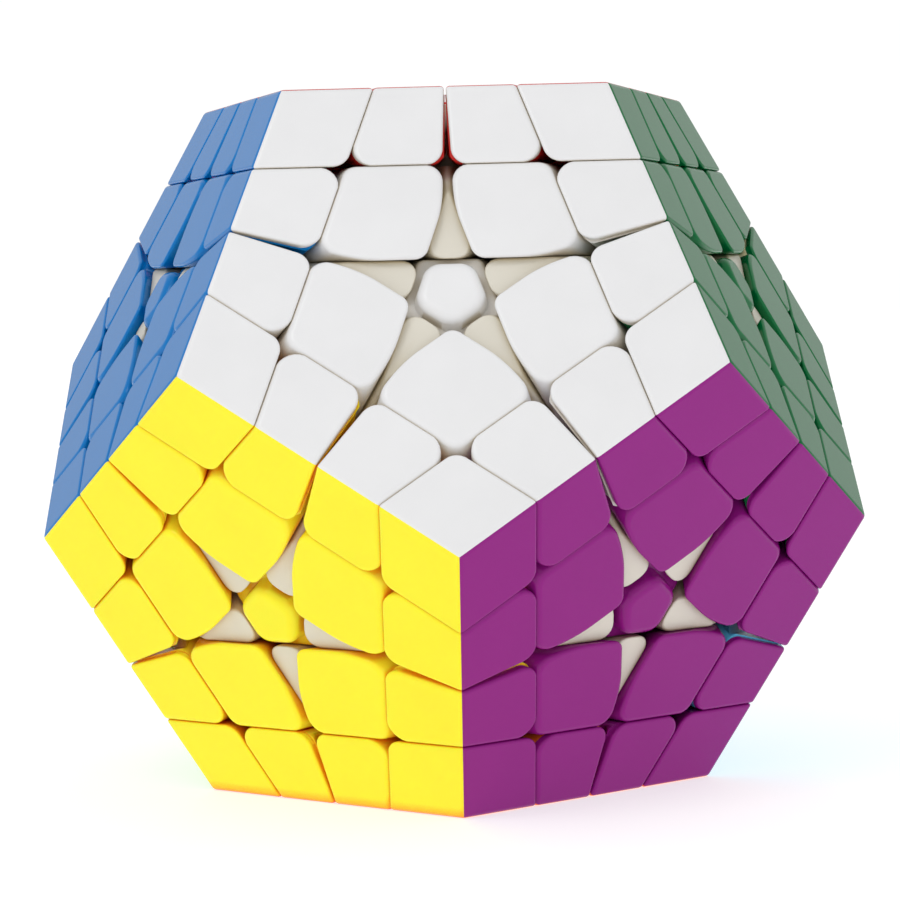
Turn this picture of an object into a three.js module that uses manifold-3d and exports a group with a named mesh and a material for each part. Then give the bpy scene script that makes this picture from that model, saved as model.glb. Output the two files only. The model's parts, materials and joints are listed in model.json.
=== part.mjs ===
// A four-layer dodecahedron twisty puzzle. Each coloured face shows five corners, ten wings, five kites,
// five low inner wedges and a small center cap. It stands on its orange face, whose center is the origin,
// and +Z is the axis of the red face on top. Lengths are millimetres.
//
// Each piece is what is left of the solid dodecahedron between cutting planes. Every axis has two cuts:
// the layer cut frees its outer layer and the slice cut frees the slice under that.
import * as THREE from "three";
import { mergeVertices } from "three/addons/utils/BufferGeometryUtils.js";
import Module from "manifold-3d";

const wasm = await Module();
wasm.setup();

// ---- Driving dimensions ------------------------------------------------------------------------------
const EDGE = 38; // edge of the dodecahedron
const LAYER_LINE = 10.5; // on a face, from its edge in to the layer cut
const SLICE_LINE = 3.5; // on a face, from its center out to the slice cut
const HALF_GAP = 0.15; // half of the gap between two pieces
const KITE_HALF_GAP = 0.6; // half of the wider gap between two kites
const WING_TAPER = 0.083; // how fast the gap between two wings widens going inward
const CORNER_CUT = 0.4; // depth of the flat across a piece's rounded corner
const INNER_CUT = 0.5; // the same on the corner of a kite beside the cap
const BLUNT_CUT = 0.15; // the same on a kite's two blunt corners
const WEDGE_DROP = 1.2; // from the face down to the top of a wedge
const WEDGE_SETBACK = 0.7; // on a face, from the slice cut out to the wedges
const CAP_DROP = 0.3; // from the face down to the top of a cap
const CAP_RIM = 0.8; // width and depth of the flat round a cap's top
const CAP_SKIN = 1.3; // thickness over a cap's pocket
const CAP_FLOOR = 1.6; // thickness under it
const SCREW_RADIUS = 1.4;
const SCREW_HEAD_RADIUS = 2.5;
const SCREW_HEAD_HEIGHT = 1.6;
const SCREW_CLEARANCE = 0.5; // round a screw, and over its head
const BALL_RADIUS = 9; // middle of the core
const ARM_RADIUS = 2.8;
const SHELL_CLEARANCE = 1; // between the core's shell and the outer layers
const SHELL_THICKNESS = 3;
const WINDOW_RADIUS = 5; // openings in the shell, one under each corner
const WINDOW_SIDES = 6;
const SHELL_DETAIL = 1; // how finely the shell is divided
const JOIN_BAR = 1.6; // side of the hidden bars that join the pieces of one solid
const ROUND_SIDES = 8; // sides of the small round parts
const SWEEP_SIDES = 32; // sides of the shape that the turning slice sweeps
const SWEEP_STEPS = 3;

// ---- The dodecahedron and its axes -------------------------------------------------------------------
const TILT = 1 / Math.sqrt(5); // cosine of the angle between two neighbouring axes
const LEAN = 2 / Math.sqrt(5); // its sine
const IN_RADIUS = (EDGE / 2) * Math.sqrt((25 + 11 * Math.sqrt(5)) / 10);
const MID_RADIUS = IN_RADIUS / Math.sqrt((1 + TILT) / 2); // origin to the middle of an edge
const LAYER_CUT = IN_RADIUS - LAYER_LINE * LEAN; // height of the layer cut on its axis
const SLICE_CUT = IN_RADIUS * TILT + SLICE_LINE * LEAN; // height of the slice cut
const WEDGE_CUT = IN_RADIUS * TILT + (SLICE_LINE + WEDGE_SETBACK) * LEAN;

function ringAxis(degrees, height) {
  const a = THREE.MathUtils.degToRad(degrees);
  return new THREE.Vector3(LEAN * Math.cos(a), LEAN * Math.sin(a), height);
}

const AXES = {
  red: new THREE.Vector3(0, 0, 1),
  white: ringAxis(-90, TILT),
  green: ringAxis(-18, TILT),
  beige: ringAxis(54, TILT),
  pink: ringAxis(126, TILT),
  blue: ringAxis(-162, TILT),
  yellow: ringAxis(-126, -TILT),
  purple: ringAxis(-54, -TILT),
  light_blue: ringAxis(18, -TILT),
  gray: ringAxis(90, -TILT),
  light_green: ringAxis(162, -TILT),
  orange: new THREE.Vector3(0, 0, -1),
};
const COLORS = {
  red: "#c8342c",
  white: "#ededed",
  green: "#0c7a45",
  beige: "#efe2b4",
  pink: "#f08ab4",
  blue: "#1f6fc4",
  yellow: "#ffee3d",
  purple: "#97308a",
  light_blue: "#5cc3e8",
  gray: "#8d9296",
  light_green: "#8fd04a",
  orange: "#f5762a",
};
const CORE_COLOR = "#e4e0d2";
const FACES = Object.keys(AXES);
const TURNING_LAYERS = ["red", "yellow", "light_blue"]; // no two of them share a piece
const TURNING_SLICE = "red";
const FIXED_SLICES = ["yellow", "light_blue"];

const touches = (a, b) => Math.abs(AXES[a].dot(AXES[b]) - TILT) < 1e-6;
const neighbors = (...faces) => FACES.filter((f) => faces.every((g) => touches(f, g)));
const CORNERS = FACES.flatMap((a, i) =>
  FACES.slice(i + 1).flatMap((b, j) =>
    FACES.slice(i + j + 2)
      .filter((c) => touches(a, b) && touches(b, c) && touches(a, c))
      .map((c) => [a, b, c]),
  ),
);

// The faces round one face, in order, as pairs that share a corner with it.
function pairsAround(face) {
  const [first] = neighbors(face);
  const loop = [first, neighbors(face, first)[0]];
  while (loop.length < 5) {
    loop.push(neighbors(face, loop.at(-1)).find((f) => !loop.includes(f)));
  }
  return loop.map((f, i) => [f, loop[(i + 1) % 5]]);
}

// ---- Solids ------------------------------------------------------------------------------------------
function solidOf(geometry) {
  const bare = geometry.index ? geometry.toNonIndexed() : geometry.clone();
  bare.deleteAttribute("normal");
  bare.deleteAttribute("uv");
  const merged = mergeVertices(bare, 1e-3);
  return new wasm.Manifold(
    new wasm.Mesh({
      numProp: 3,
      vertProperties: merged.attributes.position.array,
      triVerts: new Uint32Array(merged.index.array),
    }),
  );
}

function geometryOf(solid) {
  const { vertProperties, triVerts } = solid.getMesh();
  const geometry = new THREE.BufferGeometry();
  geometry.setAttribute("position", new THREE.BufferAttribute(vertProperties, 3));
  geometry.setIndex(new THREE.BufferAttribute(triVerts, 1));
  const flat = geometry.toNonIndexed();
  flat.computeVertexNormals();
  return flat;
}

const union = (solids) => solids.reduce((a, b) => a.add(b));

// The mean of a solid's vertices, which lies inside it when it is convex.
function middleOf(solid) {
  const { vertProperties } = solid.getMesh();
  const points = new THREE.BufferAttribute(vertProperties, 3);
  const sum = new THREE.Vector3();
  for (let i = 0; i < points.count; i++) {
    sum.add(new THREE.Vector3().fromBufferAttribute(points, i));
  }
  return sum.divideScalar(points.count);
}

function bar(from, to) {
  const along = to.clone().sub(from);
  const geometry = new THREE.BoxGeometry(JOIN_BAR, JOIN_BAR, along.length());
  const turn = new THREE.Quaternion();
  turn.setFromUnitVectors(new THREE.Vector3(0, 0, 1), along.clone().normalize());
  geometry.applyQuaternion(turn);
  const middle = from.clone().add(to).divideScalar(2);
  return solidOf(geometry.translate(middle.x, middle.y, middle.z));
}

// Joins neighbouring pieces into one solid, each to the next.
function chain(pieces) {
  const middles = pieces.map(middleOf);
  const bars = middles.slice(1).map((m, i) => bar(middles[i], m));
  return union([...pieces, ...bars]);
}

// A piece with the bar that joins it to a neighbour.
const withBar = (piece, neighbor) => piece.add(bar(middleOf(piece), middleOf(neighbor)));

// A half-space keeps the points p with normal . p >= distance.
const above = (face, distance) => ({ normal: AXES[face], distance });
const below = (face, distance) => ({ normal: AXES[face].clone().negate(), distance: -distance });
const inLayer = (face) => above(face, LAYER_CUT + HALF_GAP);
const underLayer = (face) => below(face, LAYER_CUT - HALF_GAP);
const inSlice = (face) => above(face, SLICE_CUT + HALF_GAP);
const underSlice = (face) => below(face, SLICE_CUT - HALF_GAP);

// The plane across the middle of the edge between a and b, kept on the side of a third face. With a
// taper it leans back, so that the gap is the given one at the edge and wider inside.
function halfway(a, b, side, gap, taper = 0) {
  const far = neighbors(a, b).find((f) => f !== side);
  const along = AXES[side].clone().sub(AXES[far]).normalize();
  const outward = AXES[a].clone().add(AXES[b]).normalize();
  const normal = along.addScaledVector(outward, taper);
  const length = normal.length();
  return { normal: normal.divideScalar(length), distance: (gap + taper * MID_RADIUS) / length };
}

// The flat across the edge where two half-spaces meet, a given depth off that edge.
function flat([a, b], depth) {
  const sum = a.normal.clone().add(b.normal);
  const length = sum.length();
  return { normal: sum.divideScalar(length), distance: (a.distance + b.distance) / length + depth };
}

const cut = (solid, halfSpaces) =>
  halfSpaces.reduce((s, h) => s.trimByPlane(h.normal.toArray(), h.distance), solid);
const block = solidOf(new THREE.BoxGeometry(4 * EDGE, 4 * EDGE, 4 * EDGE));
const BODY = cut(block, FACES.map((f) => below(f, IN_RADIUS)));

// Shapes made along +Z, turned to lie along a face's axis.
function alongAxis(geometry, face) {
  const turn = new THREE.Quaternion();
  turn.setFromUnitVectors(new THREE.Vector3(0, 0, 1), AXES[face]);
  return solidOf(geometry.clone().applyQuaternion(turn));
}

// A solid of revolution about +Z, from [radius, height] pairs that run up its outside.
function revolve(profile, sides = ROUND_SIDES) {
  const points = profile.map(([radius, height]) => new THREE.Vector2(radius, height));
  return new THREE.LatheGeometry(points, sides).rotateX(Math.PI / 2);
}
const rod = (radius, low, high, sides) =>
  revolve([[0, low], [radius, low], [radius, high], [0, high]], sides);

// ---- Pieces ------------------------------------------------------------------------------------------
// A corner shows three faces.
function corner([a, b, c]) {
  const [inA, inB, inC] = [a, b, c].map(inLayer);
  const pairs = [[inA, inB], [inB, inC], [inA, inC]];
  return cut(BODY, [inA, inB, inC, ...pairs.map((p) => flat(p, CORNER_CUT))]);
}

// A wing shows the two faces of its edge, in the half of it that is nearer to a third face.
function wing(a, b, near) {
  const [inA, inB, out] = [inLayer(a), inLayer(b), underLayer(near)];
  const middle = halfway(a, b, near, HALF_GAP, WING_TAPER);
  const pairs = [[inA, out], [inB, out], [inA, middle], [inB, middle]];
  const flats = pairs.map((p) => flat(p, CORNER_CUT));
  return cut(BODY, [inA, inB, out, inSlice(near), middle, ...flats]);
}

// A kite is the large tile beside the cap, pointing at the corner that its face shares with a and b.
function kite(face, a, b) {
  const [outA, outB, inA, inB] = [underLayer(a), underLayer(b), inSlice(a), inSlice(b)];
  const middleA = halfway(face, a, b, KITE_HALF_GAP);
  const middleB = halfway(face, b, a, KITE_HALF_GAP);
  const sharp = [[outA, outB], [outA, middleA], [outB, middleB]];
  const blunt = [[middleA, inB], [middleB, inA]];
  return cut(BODY, [
    inLayer(face), outA, outB, inA, inB, middleA, middleB,
    flat([inA, inB], INNER_CUT),
    ...sharp.map((p) => flat(p, CORNER_CUT)),
    ...blunt.map((p) => flat(p, BLUNT_CUT)),
  ]);
}

// A wedge sits low between two kites and points from the cap toward another face.
function wedge(face, toward) {
  const sides = neighbors(face, toward).map(underSlice);
  const top = below(face, IN_RADIUS - WEDGE_DROP);
  return cut(BODY, [inLayer(face), top, above(toward, WEDGE_CUT), underLayer(toward), ...sides]);
}

// A cap turns on its axis screw. Its pocket holds the screw's head and the spring.
const HEAD_TOP = IN_RADIUS - CAP_DROP - CAP_SKIN - SCREW_CLEARANCE;
function cap(face) {
  const sides = neighbors(face).map(underSlice);
  const top = below(face, IN_RADIUS - CAP_DROP);
  const rims = sides.map((s) => flat([s, top], CAP_RIM));
  const floor = LAYER_CUT + HALF_GAP;
  const bore = rod(SCREW_RADIUS + SCREW_CLEARANCE, floor - 1, HEAD_TOP);
  const pocketRadius = SCREW_HEAD_RADIUS + SCREW_CLEARANCE;
  const pocket = rod(pocketRadius, floor + CAP_FLOOR, HEAD_TOP + SCREW_CLEARANCE);
  return cut(BODY, [inLayer(face), top, ...sides, ...rims])
    .subtract(alongAxis(bore, face))
    .subtract(alongAxis(pocket, face));
}

// The core: a ball with twelve arms and their screws, and the open shell that stands in for the feet
// of the outer pieces.
function core() {
  const outer = LAYER_CUT - SHELL_CLEARANCE;
  const inner = outer - SHELL_THICKNESS;
  const ball = new THREE.SphereGeometry(BALL_RADIUS, ROUND_SIDES, ROUND_SIDES / 2);
  const screw = revolve([
    [0, inner],
    [SCREW_RADIUS, inner],
    [SCREW_RADIUS, HEAD_TOP - SCREW_HEAD_HEIGHT],
    [SCREW_HEAD_RADIUS, HEAD_TOP - SCREW_HEAD_HEIGHT],
    [SCREW_HEAD_RADIUS, HEAD_TOP],
    [0, HEAD_TOP],
  ]);
  const arm = rod(ARM_RADIUS, 0, inner + SHELL_THICKNESS / 2);
  const windows = CORNERS.map((faces) => {
    const geometry = rod(WINDOW_RADIUS, inner / 2, outer + 1, WINDOW_SIDES);
    const direction = faces.reduce((sum, f) => sum.add(AXES[f]), new THREE.Vector3()).normalize();
    const turn = new THREE.Quaternion();
    turn.setFromUnitVectors(new THREE.Vector3(0, 0, 1), direction);
    return solidOf(geometry.applyQuaternion(turn));
  });
  const shell = solidOf(new THREE.IcosahedronGeometry(outer, SHELL_DETAIL))
    .subtract(solidOf(new THREE.IcosahedronGeometry(inner, SHELL_DETAIL)))
    .subtract(union(windows));
  return union([
    shell,
    solidOf(ball),
    ...FACES.flatMap((f) => [alongAxis(arm, f), alongAxis(screw, f)]),
  ]);
}

// The room that the turning slice needs: everything over its cut, inside the surface that the lines
// between the kites sweep as it turns.
function sweptSlice(face) {
  const axis = AXES[face];
  const [side] = neighbors(face);
  const [next] = neighbors(face, side);
  const center = AXES[side].clone().multiplyScalar(IN_RADIUS);
  const edge = AXES[side].clone().add(AXES[next]).setLength(MID_RADIUS);
  const start = (SLICE_CUT - center.dot(axis)) / (edge.dot(axis) - center.dot(axis));
  const curve = Array.from({ length: SWEEP_STEPS + 1 }, (_, i) => {
    const point = center.clone().lerp(edge, THREE.MathUtils.lerp(start, 1, i / SWEEP_STEPS));
    const height = point.dot(axis);
    return [Math.sqrt(point.lengthSq() - height ** 2), height];
  });
  const [[r0, z0], [r1, z1]] = curve.slice(-2);
  curve.push([r1 + (r1 - r0), z1 + (z1 - z0)]);
  const slack = 1 / Math.cos(Math.PI / SWEEP_SIDES);
  const room = curve.map(([r, z]) => [(r + HALF_GAP) * slack, z - HALF_GAP]);
  const profile = [[0, room[0][1]], ...room, [room.at(-1)[0], 2 * EDGE], [0, 2 * EDGE]];
  return alongAxis(revolve(profile, SWEEP_SIDES), face);
}

// ---- Assembly ----------------------------------------------------------------------------------------
// The pieces are made round their common middle, which the whole group lifts to its place.
const puzzle = new THREE.Group();
puzzle.name = "dodecahedron_puzzle";
puzzle.position.z = IN_RADIUS;

function addPiece(name, solid, color) {
  const material = new THREE.MeshStandardMaterial({ color, roughness: 0.35, metalness: 0 });
  const mesh = new THREE.Mesh(geometryOf(solid), material);
  mesh.name = name;
  puzzle.add(mesh);
}

const swept = sweptSlice(TURNING_SLICE);
const title = (faces) => faces.join("_");

addPiece("core", core(), CORE_COLOR);
for (const face of FACES) {
  addPiece(`center_cap_${face}`, cap(face), COLORS[face]);
}
for (const faces of CORNERS) {
  addPiece(`corner_${title(faces)}`, corner(faces), COLORS[faces[0]]);
}

// A turning layer: round each of its corners, two wings, a kite and a wedge.
for (const face of TURNING_LAYERS) {
  for (const [a, b] of pairsAround(face)) {
    const tile = kite(face, a, b);
    const edges = chain([wing(face, a, b), tile, wing(face, b, a)]);
    const solid = edges.add(withBar(wedge(face, a), tile));
    addPiece(`${face}_layer_${a}_${b}`, solid, COLORS[face]);
  }
}

// A fifth of the slice under a face: a wing, the kites beside it and the wedge of the first kite.
const sliceFifth = (face, a, b) => [
  wedge(a, face),
  kite(a, face, b),
  wing(a, b, face),
  kite(b, face, a),
];
for (const [a, b] of pairsAround(TURNING_SLICE)) {
  addPiece(`${TURNING_SLICE}_slice_${a}_${b}`, chain(sliceFifth(TURNING_SLICE, a, b)), COLORS[a]);
}
// Still wedges go with the first ring that has a kite beside them.
const placed = new Set();
const isFree = (face, toward) => toward !== TURNING_SLICE && !placed.has(`${face} ${toward}`);
const wedgesBeside = (kites) =>
  kites.flatMap(([face, a, b]) =>
    [a, b].filter((toward) => isFree(face, toward)).map((toward) => {
      placed.add(`${face} ${toward}`);
      return withBar(wedge(face, toward), kite(face, a, b));
    }),
  );

// A slice that stays still is one ring.
for (const face of FIXED_SLICES) {
  const pairs = pairsAround(face);
  pairs.forEach(([a]) => placed.add(`${a} ${face}`));
  const ring = pairs.flatMap(([a, b]) => sliceFifth(face, a, b));
  const wedges = wedgesBeside(pairs.flatMap(([a, b]) => [[a, face, b], [b, face, a]]));
  const solid = union([chain([...ring, ring[0]]), ...wedges]).subtract(swept);
  addPiece(`${face}_slice_ring`, solid, COLORS[pairs[0][0]]);
}

// Round each corner that no turning layer holds, a ring of three kites and three wings.
const ringed = CORNERS.filter((faces) => !faces.some((f) => TURNING_LAYERS.includes(f)));
for (const faces of ringed) {
  const [a, b, c] = faces;
  const ring = [kite(a, b, c), wing(a, b, c), kite(b, a, c), wing(b, c, a), kite(c, a, b), wing(a, c, b)];
  const wedges = wedgesBeside([[a, b, c], [b, a, c], [c, a, b]]);
  const solid = union([chain([...ring, ring[0]]), ...wedges]).subtract(swept);
  addPiece(`corner_ring_${title(faces)}`, solid, COLORS[a]);
}

export default puzzle;
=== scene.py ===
# %% [markdown]
# # A four-layer dodecahedron twisty puzzle
#
# The real object is some two hundred small plastic mouldings held on one core. Every outer piece is the
# same solid dodecahedron cut by the same few planes, so the puzzle repeats: there are only five shapes
# to model, a corner, a wing, a kite, a wedge and a center cap. Each is modelled once and then turned
# into all of its places. The camera comes first, so that every later step can be looked at.

# %% Load the frame
import json
import math

import bmesh
import bpy
from mathutils import Matrix, Vector

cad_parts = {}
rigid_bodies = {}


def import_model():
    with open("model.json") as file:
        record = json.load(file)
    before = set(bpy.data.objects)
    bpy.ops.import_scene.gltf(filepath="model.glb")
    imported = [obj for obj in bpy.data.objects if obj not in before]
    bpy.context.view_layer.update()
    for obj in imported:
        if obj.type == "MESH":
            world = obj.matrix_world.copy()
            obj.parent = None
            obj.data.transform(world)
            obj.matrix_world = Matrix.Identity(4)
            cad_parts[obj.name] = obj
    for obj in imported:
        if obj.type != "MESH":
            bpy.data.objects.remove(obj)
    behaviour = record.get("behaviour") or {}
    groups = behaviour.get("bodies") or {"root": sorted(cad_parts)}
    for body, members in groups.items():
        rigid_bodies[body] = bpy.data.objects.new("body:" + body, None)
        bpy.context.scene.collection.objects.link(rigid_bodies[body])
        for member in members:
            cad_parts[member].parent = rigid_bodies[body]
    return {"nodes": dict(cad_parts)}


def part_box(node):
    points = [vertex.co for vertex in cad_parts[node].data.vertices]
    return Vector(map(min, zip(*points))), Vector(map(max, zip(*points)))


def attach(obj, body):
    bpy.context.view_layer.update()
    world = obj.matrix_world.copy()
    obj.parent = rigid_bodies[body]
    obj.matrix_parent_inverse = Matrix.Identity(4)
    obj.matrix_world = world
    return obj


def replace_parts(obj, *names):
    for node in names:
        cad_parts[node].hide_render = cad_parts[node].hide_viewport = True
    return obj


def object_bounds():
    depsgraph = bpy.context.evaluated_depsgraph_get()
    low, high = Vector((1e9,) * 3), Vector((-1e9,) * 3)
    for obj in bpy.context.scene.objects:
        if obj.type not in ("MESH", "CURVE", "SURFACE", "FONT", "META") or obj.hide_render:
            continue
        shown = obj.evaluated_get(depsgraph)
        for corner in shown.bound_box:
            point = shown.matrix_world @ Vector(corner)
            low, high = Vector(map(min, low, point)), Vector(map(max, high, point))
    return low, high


for leftover in list(bpy.data.objects):
    bpy.data.objects.remove(leftover)
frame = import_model()
cad_low, cad_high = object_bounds()

# %% [markdown]
# The dodecahedron is known once its height is: the height is the distance between two opposite faces.
# All other lengths come from the frame too. The bottom of a corner gives the layer cut and the bottom of
# the turning slice gives the slice cut, each as a height over the middle of the puzzle.

# %% Sizes
MM = 0.001
IN_RADIUS = (cad_high[2] - cad_low[2]) / 2
CENTER = Vector((0, 0, cad_low[2] + IN_RADIUS))
EDGE = 2 * IN_RADIUS / math.sqrt((25 + 11 * math.sqrt(5)) / 10)
TILT = 1 / math.sqrt(5)
LEAN = 2 / math.sqrt(5)
MID_RADIUS = IN_RADIUS / math.sqrt((1 + TILT) / 2)
LAYER_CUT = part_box("corner_red_white_blue")[0][2] - CENTER.z
SLICE_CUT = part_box("red_slice_blue_white")[0][2] - CENTER.z
CAP_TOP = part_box("center_cap_red")[1][2] - CENTER.z
HALF_GAP = 0.02 * MM
print(f"edge {EDGE / MM:.2f} mm, layer cut {LAYER_CUT / MM:.2f} mm, slice cut {SLICE_CUT / MM:.2f} mm")

# %% [markdown]
# The camera stands level with the upper part of the puzzle, a little over a third of a metre away, with
# a long lens, so the solid looks almost undistorted. Its place is given from the puzzle's middle in
# edge lengths.

# %% Camera
camera_data = bpy.data.cameras.new("camera")
camera_data.sensor_width = 36
camera_data.lens = 107.5
camera = bpy.data.objects.new("camera", camera_data)
bpy.context.scene.collection.objects.link(camera)
bpy.context.scene.camera = camera
forward = Vector((0.0094, 0.998, -0.0619)).normalized()
right = forward.cross(Vector((0.0262, 0.0617, 0.9978))).normalized()
up = right.cross(forward)
turn = Matrix((right, up, -forward)).transposed().to_4x4()
camera.matrix_world = Matrix.Translation(CENTER + EDGE * Vector((-0.09, -8.933, 0.512))) @ turn
print("camera at", [round(v, 4) for v in camera.location])

# %% [markdown]
# The twelve faces are known by their colours. Red is on top, orange under it, and two rings of five lie
# between. Each face is only an axis: two faces are neighbours when the angle between their axes is the
# smallest one, and three faces that are all neighbours share a corner.

# %% The twelve axes
def ring_axis(degrees, height):
    a = math.radians(degrees)
    return Vector((LEAN * math.cos(a), LEAN * math.sin(a), height))


AXES = {
    "red": Vector((0, 0, 1)),
    "white": ring_axis(-90, TILT),
    "green": ring_axis(-18, TILT),
    "beige": ring_axis(54, TILT),
    "pink": ring_axis(126, TILT),
    "blue": ring_axis(-162, TILT),
    "yellow": ring_axis(-126, -TILT),
    "purple": ring_axis(-54, -TILT),
    "light_blue": ring_axis(18, -TILT),
    "gray": ring_axis(90, -TILT),
    "light_green": ring_axis(162, -TILT),
    "orange": Vector((0, 0, -1)),
}
FACES = list(AXES)


def touches(a, b):
    return abs(AXES[a].dot(AXES[b]) - TILT) < 1e-5


def neighbors(*faces):
    return [f for f in FACES if all(touches(f, g) for g in faces)]


CORNERS = []
for a in FACES:
    for b in neighbors(a):
        for c in neighbors(a, b):
            if FACES.index(a) < FACES.index(b) < FACES.index(c):
                CORNERS.append((a, b, c))
print(len(FACES), "faces,", len(CORNERS), "corners")

# %% [markdown]
# A convex moulding is made the way a jeweller cuts a stone: start from a block and saw off everything on
# the wrong side of each plane. `bisect_plane` is the saw, and filling the open loop that it leaves gives
# the new facet. Each facet remembers the name of its plane in a face layer, because the rounding that
# comes next has to find the edge between two named planes.

# %% Sawing and rounding
def saw(bm, name, normal, distance):
    names = bm.faces.layers.string["plane"]
    geometry = bm.verts[:] + bm.edges[:] + bm.faces[:]
    cut = bmesh.ops.bisect_plane(
        bm, geom=geometry, dist=1e-8, plane_co=normal * distance, plane_no=-normal, clear_outer=True
    )
    loop = [e for e in cut["geom_cut"] if isinstance(e, bmesh.types.BMEdge)]
    if loop:
        for face in bmesh.ops.contextual_create(bm, geom=loop)["faces"]:
            face[names] = name.encode()


def stone(planes):
    """A closed convex mesh with one facet on each plane, given as name: (normal, distance)."""
    bm = bmesh.new()
    bm.faces.layers.string.new("plane")
    bmesh.ops.create_cube(bm, size=8 * EDGE)
    for name, (normal, distance) in planes.items():
        saw(bm, name, normal, distance)
    return bm


def edges_between(bm, first, second):
    names = bm.faces.layers.string["plane"]
    wanted = {first.encode(), second.encode()}
    return [e for e in bm.edges if {f[names] for f in e.link_faces} == wanted]


def bevel(bm, edges, width, segments, clamp=True):
    made = bmesh.ops.bevel(
        bm,
        geom=edges,
        offset=width,
        offset_type="OFFSET",
        segments=segments,
        profile=0.5,
        affect="EDGES",
        clamp_overlap=clamp,
        material=-1,
    )
    for face in made["faces"]:
        face.smooth = True


def round_edges(bm, edges, radius, segments):
    """Rounds edges that all have the same angle to a true radius."""
    angle = math.pi - edges[0].calc_face_angle()
    bevel(bm, edges, radius / math.tan(angle / 2), segments, clamp=False)


# %% [markdown]
# The planes have plain names: `in_` and `under_` are the two sides of a layer cut, `slice_` is the upper
# side of a slice cut, and `tile_` is the coloured face itself. `halfway` is the plane through the middle
# of an edge. Between two wings it leans back a little, so that their gap is a hairline at the puzzle's
# edge and wider inside, as draft on a moulding makes it. Only the outer millimetre of a piece is its
# coloured shell; deeper down is the stem that holds it.

# %% Planes
SHELL = 1.0 * MM
print(f"coloured shell {SHELL / MM:.1f} mm thick")


def tile(face):
    return -AXES[face], -IN_RADIUS


def in_layer(face):
    return AXES[face], LAYER_CUT


def under_layer(face):
    return -AXES[face], -(LAYER_CUT - 2 * HALF_GAP)


def in_slice(face):
    return AXES[face], SLICE_CUT


def under_slice(face):
    return -AXES[face], -(SLICE_CUT - 2 * HALF_GAP)


def flat_toward(face, other):
    """The direction on one face that points at another."""
    return (AXES[other] - AXES[face] * TILT) / LEAN


def halfway(a, b, side, gap, taper=0.0):
    far = next(f for f in neighbors(a, b) if f != side)
    along = (AXES[side] - AXES[far]).normalized()
    normal = along + taper * (AXES[a] + AXES[b]).normalized()
    return normal.normalized(), (gap + taper * MID_RADIUS) / normal.length


# %% [markdown]
# A slice has to turn under its layer, so nothing below it may reach into the bowl that its underside
# sweeps. The rim of that bowl is the line from the middle of a face to the middle of an edge, turned
# about the slice's axis. Spinning that short line with `bmesh.ops.spin` gives the bowl, and a boolean
# takes it out of the wing and the kite.

# %% The bowl that a turning slice sweeps
def swept_bowl(face, steps=6, sides=160):
    side = neighbors(face)[0]
    beside = neighbors(face, side)[0]
    start = AXES[side] * IN_RADIUS
    end = (AXES[side] + AXES[beside]).normalized() * MID_RADIUS
    axis = AXES[face]
    floor_height = SLICE_CUT - 2 * HALF_GAP
    first = (floor_height - start.dot(axis)) / (end.dot(axis) - start.dot(axis))
    profile = []
    for i in range(steps + 2):
        point = start.lerp(end, first + (1 - first) * i / steps)
        height = point.dot(axis)
        profile.append(((point - axis * height).length + HALF_GAP, height))
    out = (start - axis * start.dot(axis)).normalized()
    rim, top = profile[-1][0], 2 * MID_RADIUS
    outline = [(0, profile[0][1]), *profile, (rim, top), (0, top)]
    bm = bmesh.new()
    verts = [bm.verts.new(out * r + axis * h) for r, h in outline]
    edges = [bm.edges.new(pair) for pair in zip(verts, verts[1:])]
    bmesh.ops.spin(
        bm,
        geom=verts + edges,
        cent=(0, 0, 0),
        axis=axis,
        angle=math.tau,
        steps=sides,
        use_merge=True,
    )
    bmesh.ops.remove_doubles(bm, verts=bm.verts, dist=1e-6)
    bmesh.ops.recalc_face_normals(bm, faces=bm.faces)
    return object_of("bowl", bm)


def object_of(name, bm):
    mesh = bpy.data.meshes.new(name)
    bm.to_mesh(mesh)
    bm.free()
    thing = bpy.data.objects.new(name, mesh)
    bpy.context.scene.collection.objects.link(thing)
    return thing


def combine(thing, tool, operation="DIFFERENCE"):
    """Cuts or joins with another solid and leaves a plain mesh."""
    modifier = thing.modifiers.new("combine", "BOOLEAN")
    modifier.operation = operation
    modifier.solver = "EXACT"
    modifier.object = tool
    graph = bpy.context.evaluated_depsgraph_get()
    result = bpy.data.meshes.new_from_object(thing.evaluated_get(graph))
    thing.modifiers.clear()
    thing.data = result
    bpy.data.objects.remove(tool)


# %% [markdown]
# The colours of a piece are moulded through: a wing is two shells that meet on the plane halfway between
# its two faces, and a corner is three. A `bisect_plane` that keeps both sides draws that seam, and each
# facet then takes the colour of the face whose axis it reaches furthest along.

# %% Colour seams
def split_colors(thing, faces):
    bm = bmesh.new()
    bm.from_mesh(thing.data)
    for i, a in enumerate(faces):
        for b in faces[i + 1 :]:
            geometry = bm.verts[:] + bm.edges[:] + bm.faces[:]
            normal = (AXES[a] - AXES[b]).normalized()
            bmesh.ops.bisect_plane(bm, geom=geometry, dist=1e-7, plane_co=(0, 0, 0), plane_no=normal)
    for f in faces:
        geometry = bm.verts[:] + bm.edges[:] + bm.faces[:]
        depth = AXES[f] * (IN_RADIUS - SHELL)
        bmesh.ops.bisect_plane(bm, geom=geometry, dist=1e-7, plane_co=depth, plane_no=AXES[f])
    for facet in bm.faces:
        middle = facet.calc_center_median()
        reach = [AXES[f].dot(middle) for f in faces]
        in_stem = max(reach) < IN_RADIUS - SHELL
        facet.material_index = len(faces) if in_stem else reach.index(max(reach))
    bm.to_mesh(thing.data)
    bm.free()


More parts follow.
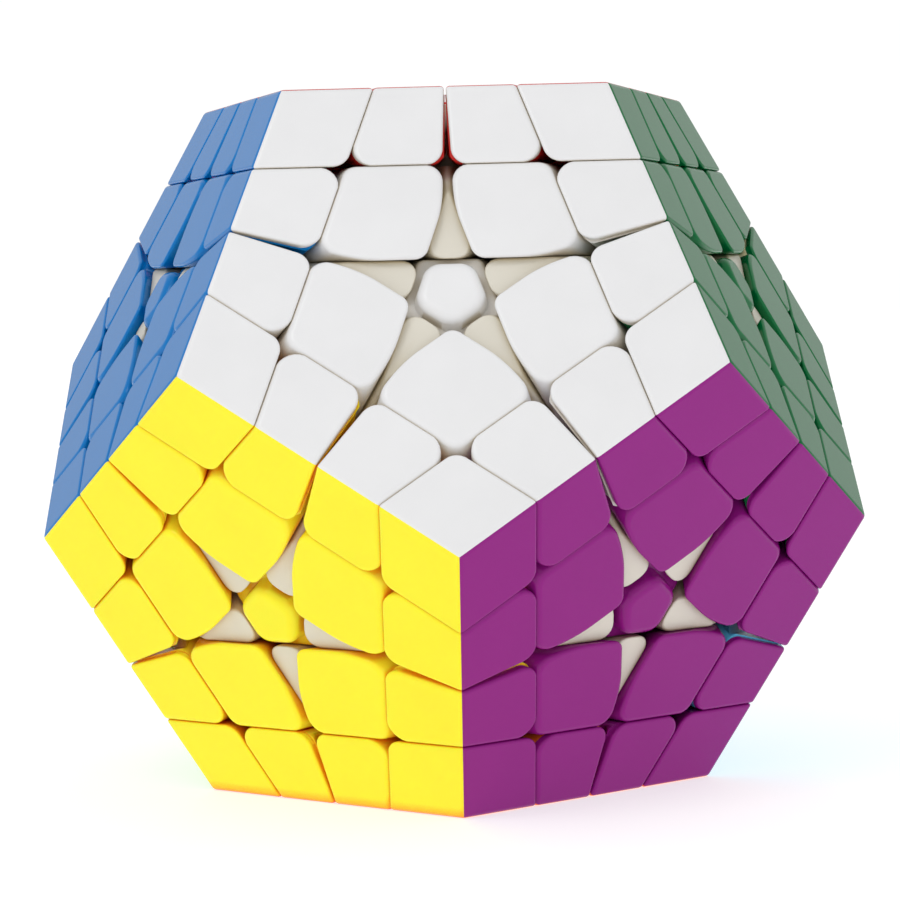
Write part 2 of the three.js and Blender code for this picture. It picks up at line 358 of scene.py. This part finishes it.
def soften_rims(bm, faces, width, segments=4):
    """Rounds the edges of coloured tiles, where they turn down into the sides or meet another tile."""
    names = bm.faces.layers.string["plane"]
    tiles = {f"tile_{f}".encode() for f in faces}
    rims = [e for e in bm.edges if any(f[names] in tiles for f in e.link_faces)]
    rims = [e for e in rims if len({f[names] for f in e.link_faces}) > 1]
    bevel(bm, rims, width, segments, clamp=False)


# %% [markdown]
# The five shapes are all made at the first corner of the puzzle, where red meets two of its neighbours.
# Tiles are flat, with only half a millimetre of rounding at the rim, while their outlines have generous
# corners that differ from piece to piece.
#
# A corner piece shows three tiles. It is what is left of the solid inside three layer cuts, so three
# tiles and three cuts make it. Its three inner edges are rounded in one bevel, because they meet in one
# point and the bevel has to close that point too.

# %% A corner
A, B, C = CORNERS[0]
if AXES[A].dot(AXES[B].cross(AXES[C])) < 0:
    B, C = C, B
CORNER_ROUND = 2.3 * MM
CORNER_RIM = 0.5 * MM


def make_corner():
    planes = {f"tile_{f}": tile(f) for f in (A, B, C)}
    planes.update({f"in_{f}": in_layer(f) for f in (A, B, C)})
    bm = stone(planes)
    inner = [edges_between(bm, f"in_{f}", f"in_{g}") for f, g in ((A, B), (B, C), (A, C))]
    round_edges(bm, sum(inner, []), CORNER_ROUND, 8)
    soften_rims(bm, (A, B, C), CORNER_RIM)
    thing = object_of("corner", bm)
    split_colors(thing, (A, B, C))
    return thing


corner_shape = make_corner()
print("corner", len(corner_shape.data.polygons), "facets")

# %% [markdown]
# A bevel fails on the narrower pieces, where two rounded corners come close together or an edge's sides
# lean. There the saw does the rounding as well: a few extra planes, each touching the same cylinder,
# roll from one side to the next. The result is closed and never folds over itself.

# %% Rounded corners by sawing
def rolled(first, second, radius, count=6):
    """Planes that roll from one to another round a given radius."""
    angle = first[0].angle(second[0])
    planes = []
    for k in range(1, count + 1):
        a, b = (math.sin(angle * w) / math.sin(angle) for w in (1 - k / (count + 1), k / (count + 1)))
        distance = a * (first[1] + radius) + b * (second[1] + radius) - radius
        planes.append((a * first[0] + b * second[0], distance))
    return planes


def rounded_stone(planes, bends):
    """A stone whose named pairs of sides meet round a radius, shaded smooth there."""
    rounds = {}
    for first, second, radius in bends:
        for k, plane in enumerate(rolled(planes[first], planes[second], radius)):
            rounds[f"bend_{first}_{second}_{k}"] = plane
    bm = stone({**planes, **rounds})
    names = bm.faces.layers.string["plane"]
    for face in bm.faces:
        face.smooth = face[names].startswith(b"bend")
    return bm


# %% [markdown]
# A wing sits on an edge beside a corner and shows two tiles. Two wings meet in the middle of each edge
# with a hairline between them. Its foot starts under the coloured shell, a twentieth of a millimetre
# further in so that the two solids never share a side, and fills the gap that the draft leaves. The
# shell and the foot are joined, and then the bowl of the slice on the far side is taken out.

# %% A wing
FAR = next(f for f in neighbors(A, B) if f != C)
WING_GAP = 0.07 * MM
WING_DRAFT = 0.083
WING_OUTER_ROUND = 2 * MM
WING_INNER_ROUND = 1.8 * MM
WING_RIM = 0.45 * MM
FOOT_INSET = 0.05 * MM


def make_wing():
    planes = {f"tile_{f}": tile(f) for f in (A, B)}
    planes.update({f"in_{f}": in_layer(f) for f in (A, B)})
    planes["under"] = under_layer(C)
    planes["middle"] = halfway(A, B, C, WING_GAP, WING_DRAFT)
    planes["slice"] = in_slice(C)
    bends = [(f"in_{f}", "middle", WING_OUTER_ROUND) for f in (A, B)]
    bends += [(f"in_{f}", "under", WING_INNER_ROUND) for f in (A, B)]
    bm = rounded_stone(planes, bends)
    soften_rims(bm, (A, B), WING_RIM)
    thing = object_of("wing", bm)
    for f in (A, B):
        planes[f"tile_{f}"] = -AXES[f], -(IN_RADIUS - SHELL)
        planes[f"in_{f}"] = AXES[f], LAYER_CUT + FOOT_INSET
    planes["under"] = -AXES[C], -(LAYER_CUT - 2 * HALF_GAP - FOOT_INSET)
    planes["slice"] = AXES[C], SLICE_CUT + FOOT_INSET
    planes["middle"] = halfway(A, B, C, HALF_GAP)
    combine(thing, object_of("foot", rounded_stone(planes, bends)), "UNION")
    combine(thing, swept_bowl(FAR))
    split_colors(thing, (A, B))
    return thing


wing_shape = make_wing()
print("wing", len(wing_shape.data.polygons), "facets")

# %% [markdown]
# A kite is the one-coloured tile between a corner and the center. It lies in two slices at once, so a
# pair of planes for each neighbour makes it. All its corners are rounded, and the two long flanks toward
# the center get such a wide bend that they look bellied.

# %% A kite
KITE_GAP = 0.55 * MM
KITE_ROUND = 2 * MM
KITE_BELLY = 5 * MM
KITE_RIM = 0.55 * MM


def make_kite():
    planes = {f"tile_{A}": tile(A), "in": in_layer(A)}
    for near, side in ((B, C), (C, B)):
        planes[f"under_{near}"] = under_layer(near)
        planes[f"slice_{near}"] = in_slice(near)
        planes[f"middle_{near}"] = halfway(A, near, side, KITE_GAP)
    bends = [(f"{cut}_{B}", f"{cut}_{C}", KITE_ROUND) for cut in ("under", "slice")]
    for near, side in ((B, C), (C, B)):
        bends.append((f"under_{near}", f"middle_{near}", KITE_ROUND))
        bends.append((f"middle_{near}", f"slice_{side}", KITE_BELLY))
    bm = rounded_stone(planes, bends)
    soften_rims(bm, (A,), KITE_RIM)
    thing = object_of("kite", bm)
    for near, side in ((B, C), (C, B)):
        combine(thing, swept_bowl(next(f for f in neighbors(A, near) if f != side)))
    return thing


kite_shape = make_kite()
print("kite", len(kite_shape.data.polygons), "facets")

# %% [markdown]
# A wedge is the ivory inner edge piece that shows in the gap between two kites. Its flat top lies lower
# than the tiles, so it only needs a small rounding. Its flanks are the slice cuts of its two side neighbours.

# %% A wedge
WEDGE_DEPTH = 1.2 * MM
WEDGE_TIP_ROUND = 0.6 * MM
WEDGE_BASE_ROUND = 1.5 * MM
WEDGE_RIM = 0.3 * MM


def make_wedge():
    left, right_side = neighbors(A, B)
    top = -AXES[A], -(IN_RADIUS - WEDGE_DEPTH)
    planes = {"top": top, "in": in_layer(A), "under": under_layer(B)}
    planes["base"] = in_slice(B)
    planes["left"] = under_slice(left)
    planes["right"] = under_slice(right_side)
    bm = stone(planes)
    round_edges(bm, edges_between(bm, "left", "right"), WEDGE_TIP_ROUND, 4)
    for side in ("left", "right"):
        round_edges(bm, edges_between(bm, "base", side), WEDGE_BASE_ROUND, 6)
    names = bm.faces.layers.string["plane"]
    rim = [e for e in bm.edges if b"top" in {f[names] for f in e.link_faces}]
    bevel(bm, rim, WEDGE_RIM, 4, clamp=False)
    return object_of("wedge", bm)


wedge_shape = make_wedge()
print("wedge", len(wedge_shape.data.polygons), "facets")

# %% [markdown]
# A center cap hides the screw that holds its layer. Its head stands between the five wedges, a little
# wider at its foot than on top, and its skirt spreads out lower down, as far as the slice cuts let it.
# Head and skirt are two stones joined
# by a boolean. From below, a lathe shape takes out the bore for the screw and the pocket over it, which
# has room for the screw's head and its spring.

# %% A lathe
def turned_on(axis, outline, sides=48):
    """A solid of revolution round an axis, from (radius, height) pairs that start and end on it."""
    out = axis.orthogonal().normalized()
    bm = bmesh.new()
    verts = [bm.verts.new(out * r + axis * h) for r, h in outline]
    edges = [bm.edges.new(pair) for pair in zip(verts, verts[1:])]
    bmesh.ops.spin(
        bm, geom=verts + edges, cent=(0, 0, 0), axis=axis, angle=math.tau, steps=sides, use_merge=True
    )
    bmesh.ops.remove_doubles(bm, verts=bm.verts, dist=1e-6)
    bmesh.ops.recalc_face_normals(bm, faces=bm.faces)
    for face in bm.faces:
        face.smooth = abs(face.normal.dot(axis)) < 0.9
    return bm


# %% A center cap
SCREW_END = CAP_TOP - 1.8 * MM
FLOOR_TOP = LAYER_CUT + 1.6 * MM
SKIRT_DEPTH = 2.6 * MM
SKIRT_ROUND = 1.2 * MM
SKIRT_RIM = 0.3 * MM
HEAD_REACH = 3.5 * MM
HEAD_DRAFT = 0.15
HEAD_ROUND = 2.0 * MM
HEAD_RIM = 1.0 * MM
BORE_RADIUS = 1.9 * MM
POCKET_RADIUS = 3.0 * MM
POCKET_CHAMFER = 0.6 * MM


def draft_wall(side):
    """A flank of the head, which spreads a little on its way down from the cap's top."""
    normal = -flat_toward(A, side) - HEAD_DRAFT * AXES[A]
    return normal.normalized(), -(HEAD_REACH + HEAD_DRAFT * CAP_TOP) / normal.length


def make_cap():
    sides = neighbors(A)
    skirt_top = -AXES[A], -(IN_RADIUS - SKIRT_DEPTH)
    skirt = {"top": skirt_top, "in": in_layer(A), **{f"side_{f}": under_slice(f) for f in sides}}
    head = {"top": (-AXES[A], -CAP_TOP), "in": (AXES[A], LAYER_CUT + 2 * MM)}
    for f in sides:
        head[f"side_{f}"] = draft_wall(f)
    parts = []
    for planes, radius, rim_width in ((skirt, SKIRT_ROUND, SKIRT_RIM), (head, HEAD_ROUND, HEAD_RIM)):
        bm = stone(planes)
        for i, f in enumerate(sides):
            for g in sides[i + 1 :]:
                if touches(f, g):
                    round_edges(bm, edges_between(bm, f"side_{f}", f"side_{g}"), radius, 6)
        names = bm.faces.layers.string["plane"]
        rim = [e for e in bm.edges if b"top" in {f[names] for f in e.link_faces}]
        bevel(bm, rim, rim_width, 6)
        parts.append(object_of("cap", bm))
    thing, top = parts
    combine(thing, top, "UNION")
    below = LAYER_CUT - MM
    roof = SCREW_END + POCKET_CHAMFER
    hollow = [(0, below), (BORE_RADIUS, below), (BORE_RADIUS, FLOOR_TOP), (POCKET_RADIUS, FLOOR_TOP)]
    hollow += [(POCKET_RADIUS, SCREW_END), (POCKET_RADIUS - POCKET_CHAMFER, roof), (0, roof)]
    combine(thing, object_of("hollow", turned_on(AXES[A], hollow)))
    return thing


cap_shape = make_cap()
print("cap", len(cap_shape.data.polygons), "facets")

# %% [markdown]
# Stickerless plastic is coloured through, so the material is one gloss plastic whose colour changes.
# Two things keep it from looking like paint: very faint clouding of the colour, from the way pigment
# flows in the mould, and a shallow ripple with fine scuffs on the polish. Both come from one node group
# that every colour uses with its own values. The group also paints shade into narrow grooves: light
# that bounces between two coloured walls comes out darker and deeper in colour, so an ambient occlusion
# node mixes in a groove colour where little sky is seen, as painted shade and painted bounce light.
# Yellow plastic lets more light through than the others, so it alone scatters some light under its surface.

# %% Moulded plastic
CLOUD_SCALE = 140.0
SCUFF_SCALE = 1600.0
WIDE_RIPPLE_SCALE = 260.0
FINE_RIPPLE_SCALE = 3000.0
# How far the ambient occlusion looks for walls when it paints shade into grooves.
GROOVE_WIDTH = 2 * MM


def moulding_group():
    group = bpy.data.node_groups.new("moulding", "ShaderNodeTree")
    for name, kind, default in (
        ("Color", "NodeSocketColor", (1, 1, 1, 1)),
        ("Groove Shade", "NodeSocketColor", (1, 1, 1, 1)),
        ("Clouding", "NodeSocketFloat", 0.04),
        ("Polish", "NodeSocketFloat", 0.2),
        ("Scuffs", "NodeSocketFloat", 0.08),
    ):
        socket = group.interface.new_socket(name, in_out="INPUT", socket_type=kind)
        socket.default_value = default
    group.interface.new_socket("Color", in_out="OUTPUT", socket_type="NodeSocketColor")
    group.interface.new_socket("Roughness", in_out="OUTPUT", socket_type="NodeSocketFloat")
    group.interface.new_socket("Height", in_out="OUTPUT", socket_type="NodeSocketFloat")
    nodes, links = group.nodes, group.links
    inputs = nodes.new("NodeGroupInput")
    outputs = nodes.new("NodeGroupOutput")
    coordinates = nodes.new("ShaderNodeTexCoord")

    def noise(scale, detail):
        node = nodes.new("ShaderNodeTexNoise")
        node.inputs["Scale"].default_value = scale
        node.inputs["Detail"].default_value = detail
        links.new(coordinates.outputs["Object"], node.inputs["Vector"])
        return node.outputs["Fac"]

    def math_node(operation, a, b):
        node = nodes.new("ShaderNodeMath")
        node.operation = operation
        for value, socket in zip((a, b), node.inputs):
            if isinstance(value, float):
                socket.default_value = value
            else:
                links.new(value, socket)
        return node.outputs[0]

    # Painted shade: where the ambient occlusion finds little sky, the colour is mixed toward the darker
    # groove colour.
    openness = nodes.new("ShaderNodeAmbientOcclusion")
    openness.samples = 4
    openness.inputs["Distance"].default_value = GROOVE_WIDTH
    hidden = nodes.new("ShaderNodeMapRange")
    hidden.inputs["From Min"].default_value = 0.75
    hidden.inputs["From Max"].default_value = 0.25
    links.new(openness.outputs["AO"], hidden.inputs["Value"])
    deep = nodes.new("ShaderNodeMix")
    deep.data_type = "RGBA"
    color_a, color_b = [s for s in deep.inputs if s.type == "RGBA"]
    links.new(hidden.outputs["Result"], deep.inputs["Factor"])
    links.new(inputs.outputs["Color"], color_a)
    links.new(inputs.outputs["Groove Shade"], color_b)
    deep_color = next(s for s in deep.outputs if s.type == "RGBA")

    clouds = math_node("SUBTRACT", noise(CLOUD_SCALE, 3.0), 0.5)
    shade = math_node("MULTIPLY_ADD", clouds, inputs.outputs["Clouding"])
    shade.node.inputs[2].default_value = 1.0
    tint = nodes.new("ShaderNodeVectorMath")
    tint.operation = "SCALE"
    links.new(deep_color, tint.inputs[0])
    links.new(shade, tint.inputs["Scale"])
    links.new(tint.outputs[0], outputs.inputs["Color"])

    scuffs = math_node("MULTIPLY", noise(SCUFF_SCALE, 4.0), inputs.outputs["Scuffs"])
    rough = math_node("ADD", scuffs, inputs.outputs["Polish"])
    links.new(rough, outputs.inputs["Roughness"])
    ripple = math_node("MULTIPLY_ADD", noise(FINE_RIPPLE_SCALE, 2.0), 0.3)
    links.new(noise(WIDE_RIPPLE_SCALE, 1.0), ripple.node.inputs[2])
    links.new(ripple, outputs.inputs["Height"])
    return group


MOULDING = moulding_group()


def linear(red, green, blue):
    """The light value of a display colour."""
    levels = [v / 255 for v in (red, green, blue)]
    return [((v + 0.055) / 1.055) ** 2.4 if v > 0.04 else v / 12.92 for v in levels] + [1]


def plastic(name, color, polish, clouding=0.08, bump=0.05, glow=0.0, groove_shade=None):
    material = bpy.data.materials.new(name)
    material.use_nodes = True
    nodes, links = material.node_tree.nodes, material.node_tree.links
    shader = nodes["Principled BSDF"]
    mould = nodes.new("ShaderNodeGroup")
    mould.node_tree = MOULDING
    mould.inputs["Color"].default_value = color
    # The groove colour is painted shade and painted bounce light, mixed in where little sky is seen.
    mould.inputs["Groove Shade"].default_value = groove_shade or color
    mould.inputs["Clouding"].default_value = clouding
    mould.inputs["Polish"].default_value = polish
    mould.inputs["Scuffs"].default_value = 0.08
    ripple = nodes.new("ShaderNodeBump")
    ripple.inputs["Strength"].default_value = bump
    ripple.inputs["Distance"].default_value = 0.1 * MM
    links.new(mould.outputs["Color"], shader.inputs["Base Color"])
    links.new(mould.outputs["Roughness"], shader.inputs["Roughness"])
    links.new(mould.outputs["Height"], ripple.inputs["Height"])
    links.new(ripple.outputs["Normal"], shader.inputs["Normal"])
    shader.inputs["IOR"].default_value = 1.5
    shader.inputs["Specular IOR Level"].default_value = 0.2
    shader.inputs["Subsurface Weight"].default_value = glow
    shader.inputs["Subsurface Radius"].default_value = (1.0, 0.3, 0.12)
    shader.inputs["Subsurface Scale"].default_value = 3 * MM
    return material


SHELL_COLORS = {
    "red": (205, 40, 34),
    "white": (230, 230, 231),
    "green": (0, 104, 54),
    "beige": (240, 226, 180),
    "pink": (244, 138, 178),
    "blue": (0, 118, 192),
    "yellow": (255, 236, 48),
    "purple": (142, 24, 127),
    "light_blue": (92, 195, 232),
    "gray": (141, 146, 150),
    "light_green": (143, 208, 74),
    "orange": (245, 118, 42),
}
# Painted groove shade: darker, warmer colours for narrow grooves where little sky is seen. The other colours
# use their own colour there, so they get none.
PAINTED_GROOVE_SHADE = {"white": (214, 205, 188), "yellow": (255, 170, 30)}
GLOW = {"yellow": 0.4}
GLOSSY, SATIN, RAW = 0.16, 0.32, 0.42
PLASTICS = {}
for face, rgb in SHELL_COLORS.items():
    groove_shade = linear(*PAINTED_GROOVE_SHADE.get(face, rgb))
    glow = GLOW.get(face, 0.0)
    PLASTICS[face] = plastic(f"{face}_plastic", linear(*rgb), GLOSSY, groove_shade=groove_shade, glow=glow)
# The ivory's painted groove shade is a darker, browner ivory.
ivory_groove_shade = linear(196, 182, 150)
PLASTICS["ivory"] = plastic("ivory_inner_plastic", linear(220, 215, 202), SATIN, groove_shade=ivory_groove_shade)
SLOTS = {f: f"{f}_plastic" for f in SHELL_COLORS}
SLOTS["ivory"] = "core_plastic"
print(len(PLASTICS), "plastics")

# %% [markdown]
# Now each shape goes to all of its places. Three axes of the first corner and three of another give the
# turn between them exactly. The order of the faces is chosen so that both triples have the same hand,
# because a mirrored copy would be inside out.

# %% Placing
FROM = Matrix((AXES[A], AXES[B], AXES[C])).transposed().inverted()


def same_hand(a, b, c):
    return AXES[a].dot(AXES[b].cross(AXES[c])) > 0


def turn_to(a, b, c):
    return Matrix((AXES[a], AXES[b], AXES[c])).transposed() @ FROM


def body_of(shown, near=None):
    """A piece that shows a turning face is in that layer; one beside red is in the slice under it."""
    for face in ("red", "yellow", "light_blue"):
        if face in shown:
            return f"{face}_layer"
    return "red_slice" if near == "red" else "core"


def stem_color(*faces):
    """Under its tiles a piece is moulded in one colour, red or yellow where it has either."""
    return next((f for f in ("red", "yellow") if f in faces), faces[0])


def place(shape, name, triple, colors, body):
    mesh = shape.data.copy()
    mesh.transform(Matrix.Translation(CENTER) @ turn_to(*triple).to_4x4())
    for color in colors:
        mesh.materials.append(PLASTICS[color])
    piece = bpy.data.objects.new(name, mesh)
    bpy.context.scene.collection.objects.link(piece)
    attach(piece, body)
    return piece


# %% [markdown]
# The frame holds several neighbouring pieces in one node, and names each node by the colours at its
# corner. Reading the colours back out of the names gives the node that a new piece stands for, and that
# node is then hidden.

# %% Which node of the frame holds a piece
LAYERS = ("red", "yellow", "light_blue")


def colors_in(name):
    found = set()
    for face in sorted(FACES, key=len, reverse=True):
        if face in name:
            found.add(face)
            name = name.replace(face, "")
    return frozenset(found)


KINDS = ("_layer_", "red_slice_", "corner_ring_", "corner_", "center_cap_")
BY_COLORS = {}
for node in frame["nodes"]:
    kind = next((k for k in KINDS if k in node), node)
    BY_COLORS[kind, colors_in(node)] = node


def node_of(shown, triple):
    key = frozenset(triple)
    if set(shown) & set(LAYERS):
        return BY_COLORS["_layer_", key]
    if "red" in key:
        return BY_COLORS["red_slice_", key]
    ring = BY_COLORS.get(("corner_ring_", key))
    return ring or ("yellow_slice_ring" if "yellow" in key else "light_blue_slice_ring")


# %% [markdown]
# A loop over the corners, the edges and the faces now lays out the whole puzzle.

# %% All the outer pieces
pieces = []
for faces in CORNERS:
    a, b, c = faces if same_hand(*faces) else (faces[0], faces[2], faces[1])
    name = "_".join(faces)
    colors = (a, b, c, stem_color(a, b, c))
    piece = place(corner_shape, f"corner_tiles_{name}", (a, b, c), colors, body_of(faces))
    pieces.append(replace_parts(piece, f"corner_{name}"))
for a in FACES:
    for b in neighbors(a):
        for near in neighbors(a, b):
            if not same_hand(a, b, near):
                continue
            triple = (a, b, near)
            colors = (a, b, stem_color(a, b))
            wing = place(wing_shape, f"wing_{a}_{b}_by_{near}", triple, colors, body_of((a, b), near))
            pieces.append(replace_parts(wing, node_of((a, b), triple)))
            kite_near = "red" if "red" in (b, near) else None
            kite = place(kite_shape, f"kite_{a}_by_{b}_{near}", triple, (a,), body_of((a,), kite_near))
            pieces.append(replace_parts(kite, node_of((a,), triple)))
            beside = triple if b == "red" or "red" not in triple else (a, b, *set(neighbors(a, b)) - {near})
            wedge = place(wedge_shape, f"wedge_{a}_to_{b}", triple, ("ivory",), body_of((a,), b))
            pieces.append(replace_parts(wedge, node_of((a,), beside)))
    first = neighbors(a)[0]
    third = next(f for f in neighbors(a, first) if same_hand(a, first, f))
    cap = place(cap_shape, f"cap_{a}", (a, first, third), (a,), body_of((a,)))
    pieces.append(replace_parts(cap, f"center_cap_{a}"))
for shape in (corner_shape, wing_shape, kite_shape, wedge_shape, cap_shape):
    bpy.data.objects.remove(shape)
print(len(pieces), "outer pieces")

# %% [markdown]
# The core of the frame stays: a ball with twelve arms, their screws and the open shell round them. It is
# raw moulded plastic that nobody polishes, so it gets the ivory with a duller surface.

# %% The core
core = frame["nodes"]["core"]
core.data.materials.clear()
core.data.materials.append(plastic("core_plastic", linear(214, 210, 196), RAW, bump=0.1))

# %% [markdown]
# The puzzle stands on a white sweep under a large soft light, as small goods are usually lit. The white
# all round also matters for the look of the plastic: at a grazing angle a polished face mirrors it, and
# that is why the side faces look paler than the front ones. Less light comes from below than from above,
# so the grooves keep some shade.

# %% Floor and light
bm = bmesh.new()
bmesh.ops.create_grid(bm, x_segments=1, y_segments=1, size=4)
floor = object_of("floor", bm)
floor.data.transform(Matrix.Translation((0, 0, cad_low[2] - 0.02 * MM)))
paper = plastic("white_paper", (0.6, 0.6, 0.6, 1), 0.7, clouding=0.0)
paper_shader = paper.node_tree.nodes["Principled BSDF"]
paper_shader.inputs["Emission Color"].default_value = (1, 1, 1, 1)
paper_shader.inputs["Emission Strength"].default_value = 0.6
floor.data.materials.append(paper)

world = bpy.context.scene.world or bpy.data.worlds.new("world")
bpy.context.scene.world = world
world.use_nodes = True
nodes, links = world.node_tree.nodes, world.node_tree.links
sky = nodes["Background"]
sky.inputs["Color"].default_value = (1, 1, 1, 1)
seen = nodes.new("ShaderNodeLightPath")
level = nodes.new("ShaderNodeMapRange")
level.inputs["To Max"].default_value = 1.02
around = nodes.new("ShaderNodeTexCoord")
height = nodes.new("ShaderNodeSeparateXYZ")
dome = nodes.new("ShaderNodeMapRange")
dome.inputs["From Min"].default_value = -1.0
dome.inputs["To Min"].default_value = 0.35
dome.inputs["To Max"].default_value = 0.85
links.new(around.outputs["Generated"], height.inputs["Vector"])
links.new(height.outputs["Z"], dome.inputs["Value"])
links.new(dome.outputs["Result"], level.inputs["To Min"])
links.new(seen.outputs["Is Camera Ray"], level.inputs["Value"])
links.new(level.outputs["Result"], sky.inputs["Strength"])


def soft_light(name, position, size, power):
    data = bpy.data.lights.new(name, "AREA")
    data.shape = "DISK"
    data.size = size
    data.energy = power
    light = bpy.data.objects.new(name, data)
    bpy.context.scene.collection.objects.link(light)
    light.location = position
    light.rotation_euler = (CENTER - Vector(position)).to_track_quat("-Z", "Y").to_euler()
    return light


soft_light("key", (-0.3, -0.45, 0.6), size=0.3, power=1.1)
soft_light("fill", (0.45, -0.7, 0.1), size=0.4, power=0.35)
bpy.context.scene.view_settings.view_transform = "Standard"
print("lights", len(bpy.data.lights))
